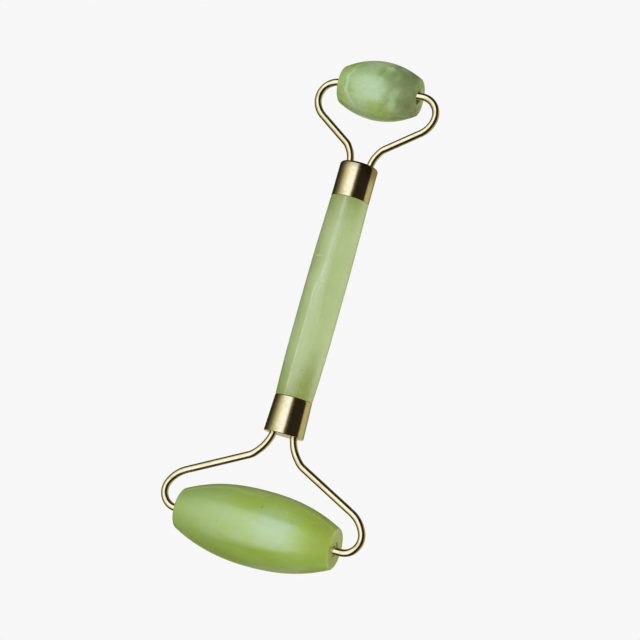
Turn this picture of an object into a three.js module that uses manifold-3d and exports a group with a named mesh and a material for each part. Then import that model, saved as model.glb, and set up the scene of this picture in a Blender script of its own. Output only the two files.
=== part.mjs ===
// A double-ended stone face roller, in millimetres.
//
// A stone handle carries a brass cap on each end. A brass wire yoke leaves each cap, opens like a
// fork and hooks round into the ends of a barrel-shaped stone roller, which turns on it. The wire
// of each yoke is one hairpin: its bridge lies inside the cap, set in resin.
//
// The handle lies along Y, with the small roller at +Y and the large one at -Y. Both rollers turn
// about X. Both yokes lie in one level plane. The large roller rests on the plane Z = 0, and the
// origin is under the middle of the whole tool.

import * as THREE from "three";
import { mergeVertices } from "three/addons/utils/BufferGeometryUtils.js";
import Module from "manifold-3d";

const wasm = await Module();
wasm.setup();

// ---------------------------------------------------------------- driving dimensions

const HANDLE_HALF = 39.2; // middle of the handle to where either yoke starts to open
const HANDLE_RADIUS = 5.68; // at the swollen middle
const WIRE_RADIUS = 1.0;

const CAP_WALL_END = 1.2; // thickness of a cap's end wall
const CAP_BORE_RADIUS = 4.6; // inside of either cap
const RESIN_END = 7.0; // depth of the resin, measured from where the yoke starts to open

const CLEARANCE = 0.25; // between the wire or resin and what is round it
const SEAT_GAP = 0.1; // between a cap's mouth and the stone, and between a sleeve and its bore

// A cap's outer face stands setBack inside the place where its yoke starts to open.
const LARGE_CAP = {
  setBack: 0,
  length: 10.3,
  endRadius: 5.6,
  mouthRadius: 5.2,
  edge: 0.25,
  stoneRadius: 5.2,
};
const SMALL_CAP = {
  setBack: 0.6,
  length: 10.2,
  endRadius: 5.35,
  mouthRadius: 5.35,
  edge: 0.95,
  stoneRadius: 5.35,
};

// How fast the stone thins towards each cap: a low power thins it early, a high one late.
const LARGE_END_POWER = 3.1;
const SMALL_END_POWER = 2.1;

// One arm of a yoke, from the cap outwards. Angles are from the handle's axis, in degrees. The
// arm leaves the cap at splayAngle, opens in two bends to armAngle, runs straight, then turns in
// two bends until it points squarely inwards along the roller's axis.
const LARGE_YOKE = {
  halfSpacing: 3.05,
  splayAngle: 11.3,
  neckRadius: 11.4,
  neckAngle: 41.3,
  shoulderRadius: 6.3,
  armAngle: 63.5,
  elbowRadius: 9.1,
  elbowAngle: 24.5,
  hookRadius: 4.6,
  axleDepth: 26.1,
  bridgeDepth: 2.5,
};
const SMALL_YOKE = {
  halfSpacing: 3.05,
  splayAngle: 6.0,
  neckRadius: 7.8,
  neckAngle: 33.8,
  shoulderRadius: 4.2,
  armAngle: 54.5,
  elbowRadius: 6.6,
  elbowAngle: 9.7,
  hookRadius: 5.2,
  axleDepth: 21.5,
  bridgeDepth: 2.0,
};

// sleeveRecess is the depth of each bearing sleeve below the roller's end face.
const LARGE_ROLLER = {
  length: 46.0,
  middleRadius: 10.6,
  endRadius: 5.6,
  power: 2.28,
  sleeveRecess: 0.4,
};
const SMALL_ROLLER = {
  length: 22.8,
  middleRadius: 8.4,
  endRadius: 5.2,
  power: 2.0,
  sleeveRecess: 1.5,
};
const RIM_ROUND = 0.5; // softened edge of a roller's end face
const BORE_RADIUS = 1.75; // drilled through each roller
const BORE_CHAMFER = 0.3;

const PIN_REACH = 6.0; // length of wire inside each end of a roller
const SLEEVE_LENGTH = 4.0;
const SLEEVE_BORE_RADIUS = 1.25;

// How finely round shapes are divided.
const ROUND_SEGMENTS = 48;
const INNER_SEGMENTS = 24;
const WIRE_SIDES = 10;
const BEND_STEP = 9; // degrees of bend to each length of wire
const BARREL_BELTS = 11; // odd, so that a level belt and not a ridge runs round the middle
const HANDLE_STEPS = 7; // along each half
const EDGE_STEPS = 3;

// ---------------------------------------------------------------- finishes

function finish(color, roughness, metalness) {
  return new THREE.MeshStandardMaterial({ color, roughness, metalness });
}

const HANDLE_JADE = 0xadbe89;
const LARGE_ROLLER_JADE = 0x93ab52;
const SMALL_ROLLER_JADE = 0x7f9350;
const BRASS = 0xc9ae72;
const RESIN = 0xd9cfa8;
const NYLON = 0xe6e3d8;

// ---------------------------------------------------------------- helpers

const radians = THREE.MathUtils.degToRad;

/** Keeps only positions, with shared corners merged, so that the surface is closed. */
function closed(geometry) {
  geometry.deleteAttribute("normal");
  geometry.deleteAttribute("uv");
  return mergeVertices(geometry, 1e-4);
}

function toSolid(geometry) {
  const merged = closed(geometry);
  return new wasm.Manifold(
    new wasm.Mesh({
      numProp: 3,
      vertProperties: new Float32Array(merged.attributes.position.array),
      triVerts: new Uint32Array(merged.index.array),
    }),
  );
}

function toGeometry(solid) {
  const mesh = solid.getMesh();
  const geometry = new THREE.BufferGeometry();
  geometry.setAttribute("position", new THREE.BufferAttribute(mesh.vertProperties, 3));
  geometry.setIndex(new THREE.BufferAttribute(mesh.triVerts, 1));
  return geometry;
}

/** Turns [radius, height] pairs about the Y axis. The pairs run up the outside. */
function turned(profile, segments) {
  return closed(
    new THREE.LatheGeometry(
      profile.map(([radius, height]) => new THREE.Vector2(radius, height)),
      segments,
    ),
  );
}

/** A ring's profile ends where it began. */
function turnedRing(profile, segments) {
  return turned([...profile, profile[0]], segments);
}

/** Points of a quarter-round edge, from one angle to another, as [radius, height] pairs. */
function edgeRound(centreRadius, centreHeight, size, fromAngle, toAngle) {
  const points = [];
  for (let i = 0; i <= EDGE_STEPS; i += 1) {
    const angle = radians(fromAngle + ((toAngle - fromAngle) * i) / EDGE_STEPS);
    points.push([centreRadius + size * Math.cos(angle), centreHeight + size * Math.sin(angle)]);
  }
  return points;
}

function named(name, geometry, material) {
  const mesh = new THREE.Mesh(geometry, material);
  mesh.name = name;
  return mesh;
}

// ---------------------------------------------------------------- yoke wire

/** A path given by its own stations, evenly numbered instead of evenly spaced. */
class StationPath extends THREE.Curve {
  constructor(stations) {
    super();
    this.stations = stations;
  }

  getPoint(t, target = new THREE.Vector3()) {
    const place = t * (this.stations.length - 1);
    const before = Math.min(Math.floor(place), this.stations.length - 2);
    return target.lerpVectors(this.stations[before], this.stations[before + 1], place - before);
  }

  getPointAt(u, target) {
    return this.getPoint(u, target);
  }

  getTangentAt(u, target = new THREE.Vector3()) {
    const last = this.stations.length - 1;
    const index = Math.round(u * last);
    const before = this.stations[Math.max(index - 1, 0)];
    const after = this.stations[Math.min(index + 1, last)];
    return target.subVectors(after, before).normalize();
  }
}

/** Follows a flat path with straights and bends. Headings are from +Y, towards +X. */
class Tracer {
  constructor(x, y, headingDegrees) {
    this.x = x;
    this.y = y;
    this.heading = radians(headingDegrees);
    this.points = [[x, y]];
  }

  straight(length) {
    this.x += length * Math.sin(this.heading);
    this.y += length * Math.cos(this.heading);
    this.points.push([this.x, this.y]);
  }

  bendTo(headingDegrees, radius) {
    const turn = radians(headingDegrees) - this.heading;
    const side = Math.sign(turn);
    const centreX = this.x + side * radius * Math.cos(this.heading);
    const centreY = this.y - side * radius * Math.sin(this.heading);
    const steps = Math.ceil(Math.abs(turn) / radians(BEND_STEP));
    const start = this.heading;
    for (let i = 1; i <= steps; i += 1) {
      this.heading = start + (turn * i) / steps;
      this.x = centreX - side * radius * Math.cos(this.heading);
      this.y = centreY + side * radius * Math.sin(this.heading);
      this.points.push([this.x, this.y]);
    }
  }
}

/** Height gained along Y by a bend between two headings. */
function bendRise(fromDegrees, toDegrees, radius) {
  return radius * Math.abs(Math.sin(radians(fromDegrees)) - Math.sin(radians(toDegrees)));
}

/**
 * Stations of the arm at +X, from the middle of the bridge inside the cap to the pin's tip. The
 * arm starts to open at Y = 0 and rises towards +Y. The roller's end is at rollerEnd.
 */
function armStations(yoke, rollerEnd) {
  const splay = radians(yoke.splayAngle);
  const bridgeRadius = yoke.halfSpacing * Math.cos(splay) - yoke.bridgeDepth * Math.sin(splay);
  const arm = new Tracer(0, -yoke.bridgeDepth - bridgeRadius, 90);
  arm.bendTo(yoke.splayAngle, bridgeRadius);
  arm.straight(-arm.y / Math.cos(splay));
  arm.bendTo(yoke.neckAngle, yoke.neckRadius);
  arm.bendTo(yoke.armAngle, yoke.shoulderRadius);
  const elbowRise = bendRise(yoke.armAngle, yoke.elbowAngle, yoke.elbowRadius);
  const hookRise = bendRise(yoke.elbowAngle, -90, yoke.hookRadius);
  const straightRise = yoke.axleDepth - arm.y - elbowRise - hookRise;
  arm.straight(straightRise / Math.cos(arm.heading));
  arm.bendTo(yoke.elbowAngle, yoke.elbowRadius);
  arm.bendTo(-90, yoke.hookRadius);
  arm.straight(arm.x - (rollerEnd - PIN_REACH));
  return arm.points;
}

/** The whole hairpin, from one pin's tip to the other. */
function yokePath(yoke, roller) {
  const right = armStations(yoke, roller.length / 2);
  const left = right.slice(1).map(([x, y]) => [-x, y]);
  const all = [...left.reverse(), ...right];
  return new StationPath(all.map(([x, y]) => new THREE.Vector3(x, y, 0)));
}

function wireAlong(path, radius) {
  const section = new THREE.Shape();
  const reach = radius / Math.cos(Math.PI / WIRE_SIDES);
  for (let i = 0; i < WIRE_SIDES; i += 1) {
    const angle = (2 * Math.PI * (i + 0.5)) / WIRE_SIDES;
    const corner = [reach * Math.cos(angle), reach * Math.sin(angle)];
    if (i === 0) {
      section.moveTo(...corner);
    } else {
      section.lineTo(...corner);
    }
  }
  section.closePath();
  return closed(
    new THREE.ExtrudeGeometry(section, {
      steps: path.stations.length - 1,
      extrudePath: path,
      bevelEnabled: false,
    }),
  );
}

// ---------------------------------------------------------------- stone

/** Height and radius of the stone between the caps, from the large end to the small end. */
function handleStone() {
  const spigotRadius = CAP_BORE_RADIUS - CLEARANCE;
  const largeShoulder = -HANDLE_HALF + LARGE_CAP.setBack + LARGE_CAP.length + SEAT_GAP;
  const smallShoulder = HANDLE_HALF - SMALL_CAP.setBack - SMALL_CAP.length - SEAT_GAP;
  const spigotEnd = HANDLE_HALF - RESIN_END - CLEARANCE;
  const outline = [
    [0, -spigotEnd],
    [spigotRadius, -spigotEnd],
    [spigotRadius, largeShoulder],
  ];
  for (let i = -HANDLE_STEPS; i <= HANDLE_STEPS; i += 1) {
    const share = Math.abs(i) / HANDLE_STEPS;
    const large = i < 0;
    const shoulder = large ? largeShoulder : smallShoulder;
    const endRadius = large ? LARGE_CAP.stoneRadius : SMALL_CAP.stoneRadius;
    const power = large ? LARGE_END_POWER : SMALL_END_POWER;
    outline.push([HANDLE_RADIUS - (HANDLE_RADIUS - endRadius) * share ** power, shoulder * share]);
  }
  outline.push([spigotRadius, smallShoulder], [spigotRadius, spigotEnd], [0, spigotEnd]);
  return turned(outline, ROUND_SEGMENTS);
}

/** A barrel with a bore through it, turned about Y and centred on the origin. */
function rollerStone(roller) {
  const half = roller.length / 2;
  const barrelHalf = half - RIM_ROUND;
  const swell = roller.middleRadius - roller.endRadius;
  const outline = [
    [BORE_RADIUS + BORE_CHAMFER, -half],
    ...edgeRound(roller.endRadius - RIM_ROUND, -barrelHalf, RIM_ROUND, -90, 0).slice(0, -1),
  ];
  for (let i = 0; i <= BARREL_BELTS; i += 1) {
    const share = (2 * i) / BARREL_BELTS - 1;
    const radius = roller.middleRadius - swell * Math.abs(share) ** roller.power;
    outline.push([radius, THREE.MathUtils.clamp(half * share, -barrelHalf, barrelHalf)]);
  }
  outline.push(
    ...edgeRound(roller.endRadius - RIM_ROUND, barrelHalf, RIM_ROUND, 0, 90).slice(1),
    [BORE_RADIUS + BORE_CHAMFER, half],
    [BORE_RADIUS, half - BORE_CHAMFER],
    [BORE_RADIUS, -half + BORE_CHAMFER],
  );
  return turnedRing(outline, ROUND_SEGMENTS);
}

// ---------------------------------------------------------------- caps, resin and sleeves

/** A cup with its outer face at Y = 0 and its mouth at -length, before the wire's holes. */
function capCup(cap) {
  const outline = [
    [CAP_BORE_RADIUS, -cap.length],
    [cap.mouthRadius, -cap.length],
    ...edgeRound(cap.endRadius - cap.edge, -cap.edge, cap.edge, 0, 90),
    [0, 0],
  ];
  return turned([[0, -CAP_WALL_END], [CAP_BORE_RADIUS, -CAP_WALL_END], ...outline], ROUND_SEGMENTS);
}

/** Resin inside a cap, up to where the yoke starts to open at Y = 0. */
function resinPlug(cap) {
  const radius = CAP_BORE_RADIUS - CLEARANCE;
  const top = -cap.setBack - CAP_WALL_END - CLEARANCE;
  return turned([[0, -RESIN_END], [radius, -RESIN_END], [radius, top], [0, top]], INNER_SEGMENTS);
}

function sleeve() {
  const outer = BORE_RADIUS - SEAT_GAP;
  const outline = [
    [SLEEVE_BORE_RADIUS, 0],
    [outer, 0],
    [outer, SLEEVE_LENGTH],
    [SLEEVE_BORE_RADIUS, SLEEVE_LENGTH],
  ];
  return turnedRing(outline, INNER_SEGMENTS);
}

// ---------------------------------------------------------------- assembly

/**
 * One end of the tool: the cap, the resin, the wire yoke, the roller and its two sleeves. It is
 * made with the place where the yoke starts to open at Y = 0 and the roller beyond it, then faces
 * +Y or -Y.
 */
function toolEnd(size, facing, cap, yoke, roller, rollerColour) {
  const end = new THREE.Group();
  end.position.y = facing * HANDLE_HALF;
  end.rotation.z = facing > 0 ? 0 : Math.PI;
  const path = yokePath(yoke, roller);
  const wireRoom = toSolid(wireAlong(path, WIRE_RADIUS + CLEARANCE));
  const cupShell = capCup(cap).translate(0, -cap.setBack, 0);
  const cup = toGeometry(toSolid(cupShell).subtract(wireRoom));
  const resin = toGeometry(toSolid(resinPlug(cap)).subtract(wireRoom));
  end.add(named(`${size}_end_cap`, cup, finish(BRASS, 0.22, 1)));
  end.add(named(`${size}_cap_resin`, resin, finish(RESIN, 0.35, 0)));
  end.add(named(`${size}_yoke_wire`, wireAlong(path, WIRE_RADIUS), finish(BRASS, 0.2, 1)));

  const axle = new THREE.Group();
  axle.position.y = yoke.axleDepth;
  axle.rotation.z = -Math.PI / 2;
  axle.add(named(`${size}_roller`, rollerStone(roller), finish(rollerColour, 0.18, 0)));
  const mouth = roller.length / 2 - roller.sleeveRecess;
  for (const sign of [-1, 1]) {
    const side = sign * facing > 0 ? "right" : "left";
    const liner = named(`${size}_roller_sleeve_${side}`, sleeve(), finish(NYLON, 0.5, 0));
    liner.position.y = sign > 0 ? mouth - SLEEVE_LENGTH : -mouth;
    axle.add(liner);
  }
  end.add(axle);
  return end;
}

const faceRoller = new THREE.Group();
const tool = new THREE.Group();
faceRoller.add(tool);

tool.add(named("handle_stone", handleStone(), finish(HANDLE_JADE, 0.16, 0)));
tool.add(toolEnd("small", 1, SMALL_CAP, SMALL_YOKE, SMALL_ROLLER, SMALL_ROLLER_JADE));
tool.add(toolEnd("large", -1, LARGE_CAP, LARGE_YOKE, LARGE_ROLLER, LARGE_ROLLER_JADE));

const largeReach = LARGE_YOKE.axleDepth + LARGE_ROLLER.middleRadius;
const smallReach = SMALL_YOKE.axleDepth + SMALL_ROLLER.middleRadius;
tool.position.set(0, (largeReach - smallReach) / 2, LARGE_ROLLER.middleRadius);

export default faceRoller;
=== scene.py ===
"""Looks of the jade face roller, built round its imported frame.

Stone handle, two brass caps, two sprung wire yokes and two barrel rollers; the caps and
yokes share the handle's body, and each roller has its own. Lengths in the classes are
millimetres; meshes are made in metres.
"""

import logging
import math
from contextlib import contextmanager
from dataclasses import dataclass, field
from enum import Enum
from typing import Callable, Iterator, Sequence

import bmesh
import bpy
from mathutils import Matrix, Vector


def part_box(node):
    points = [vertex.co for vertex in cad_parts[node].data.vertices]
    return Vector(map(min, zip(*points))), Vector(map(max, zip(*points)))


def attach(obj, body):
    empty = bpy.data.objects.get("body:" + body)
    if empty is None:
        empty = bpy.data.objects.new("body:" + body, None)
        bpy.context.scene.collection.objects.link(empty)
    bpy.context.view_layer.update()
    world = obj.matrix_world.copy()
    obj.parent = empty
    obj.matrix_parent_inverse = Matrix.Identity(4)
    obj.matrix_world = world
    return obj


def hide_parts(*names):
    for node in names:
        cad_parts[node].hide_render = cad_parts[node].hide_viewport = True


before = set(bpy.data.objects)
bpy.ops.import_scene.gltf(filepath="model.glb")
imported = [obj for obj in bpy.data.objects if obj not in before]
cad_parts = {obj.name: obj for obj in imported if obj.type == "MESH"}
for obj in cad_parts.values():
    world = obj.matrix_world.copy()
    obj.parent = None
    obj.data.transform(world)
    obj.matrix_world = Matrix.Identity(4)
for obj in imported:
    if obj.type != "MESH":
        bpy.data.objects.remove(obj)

LOG = logging.getLogger("jade_roller")
MM = 0.001
Colour = tuple[float, float, float]
Point = tuple[float, float, float]
Socket = bpy.types.NodeSocket
Piece = bpy.types.Object
ALIGNED = 0.99  # cosine above which two directions count as the same
ENDS = (-1, 1)  # the two sides of a turned piece, along its axis
HANDLE_HALF = 39.2  # middle of the handle to where either yoke starts to open
WIRE_SPACING = 3.05  # middle of the cap to the middle of either wire
JADE_IOR = 1.61
JADE_SCATTER = (0.75, 1.0, 0.45)  # how far red, green and blue travel in the stone
JADE_SCATTER_DEPTH = 1.6


class Axis(Enum):
    """The direction a turned piece lies in, with the turn that lays a cylinder along it."""

    X = (0.0, math.pi / 2, 0.0)
    Y = (-math.pi / 2, 0.0, 0.0)

    @property
    def index(self) -> int:
        """Which coordinate runs along the axis."""
        return 0 if self is Axis.X else 1

    def vector(self) -> Vector:
        """The unit vector along the axis."""
        return Vector((1, 0, 0)) if self is Axis.X else Vector((0, 1, 0))

    def across(self, scale: float) -> Point:
        """A resize that leaves the length alone.

        Args:
            scale: the factor for the two directions across the axis.

        Returns:
            Three factors for transform.resize.
        """
        return (1.0, scale, scale) if self is Axis.X else (scale, 1.0, scale)


class End(Enum):
    """Which end of the tool a piece belongs to; the value is its side along Y."""

    LARGE = -1
    SMALL = 1

    @property
    def word(self) -> str:
        """The end's name as the pieces' names have it."""
        return self.name.lower()


# ---------------------------------------------------------------- bench tools


def deselect_all() -> None:
    """Leaves nothing selected in object mode."""
    for item in bpy.context.selected_objects:
        item.select_set(False)


@contextmanager
def edit_mode(piece: Piece) -> Iterator[None]:
    """Opens one piece in edit mode with nothing selected, and closes it again.

    Args:
        piece: the mesh to work on.

    Returns:
        Control inside edit mode.
    """
    deselect_all()
    piece.select_set(True)
    bpy.context.view_layer.objects.active = piece
    bpy.ops.object.mode_set(mode="EDIT")
    bpy.ops.mesh.select_all(action="DESELECT")
    try:
        yield
    finally:
        bpy.ops.object.mode_set(mode="OBJECT")


def pick(piece: Piece, kind: str, rule: Callable) -> int:
    """Selects the elements of the mesh in edit mode that a rule accepts, and no others.

    Args:
        piece: the mesh in edit mode.
        kind: "VERT", "EDGE" or "FACE".
        rule: takes a bmesh element and says whether it is picked.

    Returns:
        How many were picked.
    """
    bpy.ops.mesh.select_mode(type=kind)
    bpy.ops.mesh.select_all(action="DESELECT")
    mesh = bmesh.from_edit_mesh(piece.data)
    group = {"VERT": mesh.verts, "EDGE": mesh.edges, "FACE": mesh.faces}[kind]
    count = 0
    for element in group:
        if rule(element):
            element.select_set(True)
            count += 1
    mesh.select_flush_mode()
    bmesh.update_edit_mesh(piece.data)
    return count


def finish_mesh(piece: Piece, angle: float = 40.0) -> None:
    """Merges doubles, turns faces outwards and smooths up to an angle.

    Args:
        piece: the mesh to finish.
        angle: edges sharper than this many degrees stay crisp.
    """
    with edit_mode(piece):
        bpy.ops.mesh.select_all(action="SELECT")
        bpy.ops.mesh.remove_doubles(threshold=1e-7)
        bpy.ops.mesh.normals_make_consistent(inside=False)
    bpy.ops.object.shade_smooth_by_angle(angle=math.radians(angle))


def apply_modifier(piece: Piece, kind: str, **settings: object) -> None:
    """Adds a modifier, sets it and applies it.

    Args:
        piece: the mesh to change.
        kind: Blender's name of the modifier's type.
        settings: the modifier's properties.
    """
    deselect_all()
    piece.select_set(True)
    bpy.context.view_layer.objects.active = piece
    modifier = piece.modifiers.new(kind.title(), kind)
    for name, value in settings.items():
        setattr(modifier, name, value)
    bpy.ops.object.modifier_apply(modifier=modifier.name)


def blank(
    name: str, axis: Axis, centre: Vector, radius: float, length: float, sides: int
) -> Piece:
    """Adds a round bar, the start of every turned piece, with its place in its mesh.

    Args:
        name: the piece's name.
        axis: the direction it lies in.
        centre: its middle, in metres.
        radius: its radius in millimetres.
        length: its length in millimetres.
        sides: the number of facets round it.

    Returns:
        The new mesh object.
    """
    deselect_all()
    bpy.ops.mesh.primitive_cylinder_add(
        vertices=sides,
        radius=radius * MM,
        depth=length * MM,
        location=centre,
        rotation=axis.value,
    )
    piece = bpy.context.object
    piece.name = piece.data.name = name
    bpy.ops.object.transform_apply(location=True, rotation=True, scale=True)
    return piece


@dataclass
class Lathe:
    """Turns a round bar: belts it, gives it a profile, faces and bores its ends."""

    piece: Piece
    axis: Axis
    centre: Vector
    length: float

    def along(self, point: Vector) -> float:
        """How far a point is from the middle, along the axis, in millimetres."""
        return (point[self.axis.index] - self.centre[self.axis.index]) / MM

    def out(self, point: Vector) -> float:
        """How far a point is from the axis, in millimetres."""
        away = point - self.centre
        away[self.axis.index] = 0.0
        return away.length / MM

    def profile(self, radius: float, shape: Callable[[float], float], belts: int) -> None:
        """Cuts the side into belts and resizes each ring between them to the profile.

        Args:
            radius: the bar's radius in millimetres.
            shape: gives the radius at a distance from the middle, in millimetres.
            belts: the number of belts.
        """
        step = self.axis.vector()
        pick(
            self.piece,
            "EDGE",
            lambda e: abs((e.verts[1].co - e.verts[0].co).normalized().dot(step)) > ALIGNED,
        )
        bpy.ops.mesh.subdivide(number_cuts=belts - 1)
        for ring in range(belts + 1):
            at = self.length * (ring / belts - 0.5)
            pick(self.piece, "VERT", lambda v: abs(self.along(v.co) - at) < 1e-3)
            middle = self.centre + self.axis.vector() * at * MM
            bpy.ops.transform.resize(
                value=self.axis.across(shape(at) / radius), center_override=tuple(middle)
            )

    def pick_end(self, side: int) -> int:
        """Selects the face at one end.

        Args:
            side: -1 or 1.

        Returns:
            How many faces were selected.
        """
        place = side * self.length / 2
        normal = self.axis.vector() * side
        return pick(
            self.piece,
            "FACE",
            lambda f: f.normal.dot(normal) > ALIGNED
            and abs(self.along(f.calc_center_median()) - place) < 1e-2,
        )

    def pick_ring(self, at: float, radius: float, tolerance: float = 0.02) -> int:
        """Selects the edges of one ring.

        Args:
            at: the ring's distance from the middle in millimetres.
            radius: the ring's radius in millimetres.
            tolerance: how far off either may be.

        Returns:
            How many edges were selected.
        """
        return pick(
            self.piece,
            "EDGE",
            lambda e: all(
                abs(self.along(v.co) - at) < tolerance
                and abs(self.out(v.co) - radius) < tolerance
                for v in e.verts
            ),
        )

    def bevel_ring(self, at: float, radius: float, width: float, segments: int) -> None:
        """Rounds one ring's edge.

        Args:
            at: the ring's distance from the middle in millimetres.
            radius: the ring's radius in millimetres.
            width: the bevel's width in millimetres.
            segments: the number of steps in the round.
        """
        if not self.pick_ring(at, radius):
            raise ValueError(f"{self.piece.name} has no ring at {at}, radius {radius}")
        bpy.ops.mesh.bevel(
            offset=width * MM, segments=segments, affect="EDGES", clamp_overlap=True
        )

    def bore_through(self, end_radius: float, bore: float) -> None:
        """Opens a bore from end to end.

        Args:
            end_radius: the end faces' radius in millimetres.
            bore: the bore's radius in millimetres.
        """
        for side in ENDS:
            self.pick_end(side)
            bpy.ops.mesh.inset(thickness=(end_radius - bore) * MM)
        pick(
            self.piece,
            "FACE",
            lambda f: len(f.verts) > 8 and abs(f.normal.dot(self.axis.vector())) > ALIGNED,
        )
        bpy.ops.mesh.delete(type="ONLY_FACE")
        pick(self.piece, "EDGE", lambda e: e.is_boundary)
        bpy.ops.mesh.bridge_edge_loops()

    def step(self, side: int, inset: float, reach: float) -> None:
        """Steps an end face in and draws it along the axis, out or in.

        Args:
            side: -1 or 1.
            inset: how far the face shrinks, in millimetres.
            reach: how far it then moves, outwards if positive.
        """
        self.pick_end(side)
        bpy.ops.mesh.inset(thickness=inset * MM)
        bpy.ops.mesh.extrude_region_move(
            TRANSFORM_OT_translate={
                "value": tuple(self.axis.vector() * side * reach * MM)
            }
        )


def hand_cut(piece: Piece, grain: float, depth: float, seed: float) -> None:
    """Takes off a slight unevenness, as lapping by hand leaves; it never adds material.

    Args:
        piece: the stone.
        grain: the size of the unevenness in millimetres.
        depth: the most that comes off, in millimetres.
        seed: a different stone for each value; it turns the pattern's contrast a little.
    """
    pattern = bpy.data.textures.new(piece.name + "_lapping", "CLOUDS")
    pattern.noise_scale = grain * MM
    pattern.noise_depth = 1
    pattern.intensity = 1.0 - 0.02 * seed
    apply_modifier(
        piece,
        "DISPLACE",
        texture=pattern,
        texture_coords="LOCAL",
        strength=depth * MM,
        mid_level=1.0,
    )


# ---------------------------------------------------------------- finishes


@dataclass(frozen=True)
class Patch:
    """A soft-edged spot of another colour, at a place from the piece's middle."""

    centre: Point
    reach: Point
    colour: Colour
    strength: float
    edge: float = 0.5
    ragged: float = 0.28


class NodeBench:
    """A material's node tree, with short ways to add and join nodes."""

    def __init__(self, name: str) -> None:
        """Starts an empty material of that name."""
        self.material = bpy.data.materials.new(name)
        self.material.use_nodes = True
        self.tree = self.material.node_tree
        self.tree.nodes.clear()
        self.output = self.tree.nodes.new("ShaderNodeOutputMaterial")
        self.shader = self.tree.nodes.new("ShaderNodeBsdfPrincipled")
        self.join(self.shader.outputs[0], self.output.inputs[0])

    def join(self, source: Socket, target: Socket) -> None:
        """Links an output to an input."""
        self.tree.links.new(source, target)

    def node(self, kind: str, inputs: dict | None = None, **settings: object) -> bpy.types.Node:
        """Adds a node.

        Args:
            kind: the node's type name.
            inputs: values or output sockets for its inputs, by name or number.
            settings: the node's properties.

        Returns:
            The node.
        """
        made = self.tree.nodes.new(kind)
        for name, value in settings.items():
            setattr(made, name, value)
        for key, value in (inputs or {}).items():
            if isinstance(value, Socket):
                self.join(value, made.inputs[key])
            else:
                made.inputs[key].default_value = value
        return made

    def place(
        self, centre: Vector, scale: Point = (1, 1, 1), turn: Point = (0, 0, 0)
    ) -> Socket:
        """Object coordinates centred on a piece, then turned and stretched.

        Args:
            centre: the piece's middle, in metres.
            scale: the stretch in each direction.
            turn: the turn about each axis, in degrees.

        Returns:
            The vector output.
        """
        source = self.node("ShaderNodeTexCoord").outputs["Object"]
        centred = self.vectors("SUBTRACT", source, tuple(centre)).outputs[0]
        return self.mapped(centred, scale, tuple(math.radians(a) for a in turn))

    def mapped(self, vector: Socket, scale: Point, turn: Point) -> Socket:
        """A vector turned, by radians about each axis, and stretched."""
        inputs = {"Vector": vector, "Rotation": turn, "Scale": scale}
        return self.node("ShaderNodeMapping", inputs).outputs[0]

    def vectors(
        self, operation: str, first: object, second: object = (0.0, 0.0, 0.0)
    ) -> bpy.types.Node:
        """A vector math node of that operation."""
        return self.node("ShaderNodeVectorMath", {0: first, 1: second}, operation=operation)

    def cells(self, vector: Socket, size: float) -> Socket:
        """Cells about size millimetres apart; returns the distance to a cell's middle."""
        inputs = {"Vector": vector, "Scale": 1.0 / (size * MM)}
        return self.node("ShaderNodeTexVoronoi", inputs).outputs["Distance"]

    def noise(
        self,
        vector: Socket,
        size: float,
        detail: float = 4.0,
        roughness: float = 0.55,
        distortion: float = 0.0,
    ) -> Socket:
        """Noise whose features are about size millimetres across; returns its factor."""
        return self.node(
            "ShaderNodeTexNoise",
            {
                "Vector": vector,
                "Scale": 1.0 / (size * MM),
                "Detail": detail,
                "Roughness": roughness,
                "Distortion": distortion,
            },
        ).outputs["Fac"]

    def ramp(self, value: Socket, stops: Sequence[tuple[float, Colour]]) -> Socket:
        """A colour ramp with these stops; returns its colour."""
        made = self.node("ShaderNodeValToRGB", {0: value})
        band = made.color_ramp
        while len(band.elements) < len(stops):
            band.elements.new(0.5)
        for element, (at, colour) in zip(band.elements, stops):
            element.position = at
            element.color = (*colour, 1.0)
        return made.outputs["Color"]

    def span(
        self,
        value: Socket,
        low: float,
        high: float,
        to_low: float = 0.0,
        to_high: float = 1.0,
        smooth: bool = True,
    ) -> Socket:
        """Maps low..high of a value to to_low..to_high, clamped."""
        return self.node(
            "ShaderNodeMapRange",
            {"Value": value, 1: low, 2: high, 3: to_low, 4: to_high},
            interpolation_type="SMOOTHSTEP" if smooth else "LINEAR",
            clamp=True,
        ).outputs[0]

    def math(self, operation: str, first: object, second: object = 0.0) -> Socket:
        """A math node of that operation; returns its value."""
        return self.node("ShaderNodeMath", {0: first, 1: second}, operation=operation).outputs[0]

    def mix(self, share: object, first: object, second: object, mode: str = "MIX") -> Socket:
        """Mixes two colours; returns the colour."""
        made = self.node("ShaderNodeMix", data_type="RGBA", blend_type=mode)
        for socket, value in zip(
            (made.inputs[0], made.inputs[6], made.inputs[7]), (share, first, second)
        ):
            if isinstance(value, Socket):
                self.join(value, socket)
            elif isinstance(value, tuple):
                socket.default_value = (*value, 1.0)
            else:
                socket.default_value = value
        return made.outputs[2]

    def axes(self, vector: Socket) -> tuple[Socket, ...]:
        """Splits a vector into its three coordinates."""
        return tuple(self.node("ShaderNodeSeparateXYZ", {0: vector}).outputs)

    def away(self, vector: Socket, centre: Point, reach: Point) -> Socket:
        """How far a point is from a spot, as a share of the spot's reach.

        Args:
            vector: the point.
            centre: the spot's middle in millimetres.
            reach: its half-lengths in millimetres.

        Returns:
            The share: 1 at the spot's edge.
        """
        shifted = self.vectors("SUBTRACT", vector, tuple(c * MM for c in centre)).outputs[0]
        shares = tuple(1.0 / (r * MM) for r in reach)
        scaled = self.vectors("MULTIPLY", shifted, shares).outputs[0]
        return self.vectors("LENGTH", scaled).outputs[1]

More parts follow.
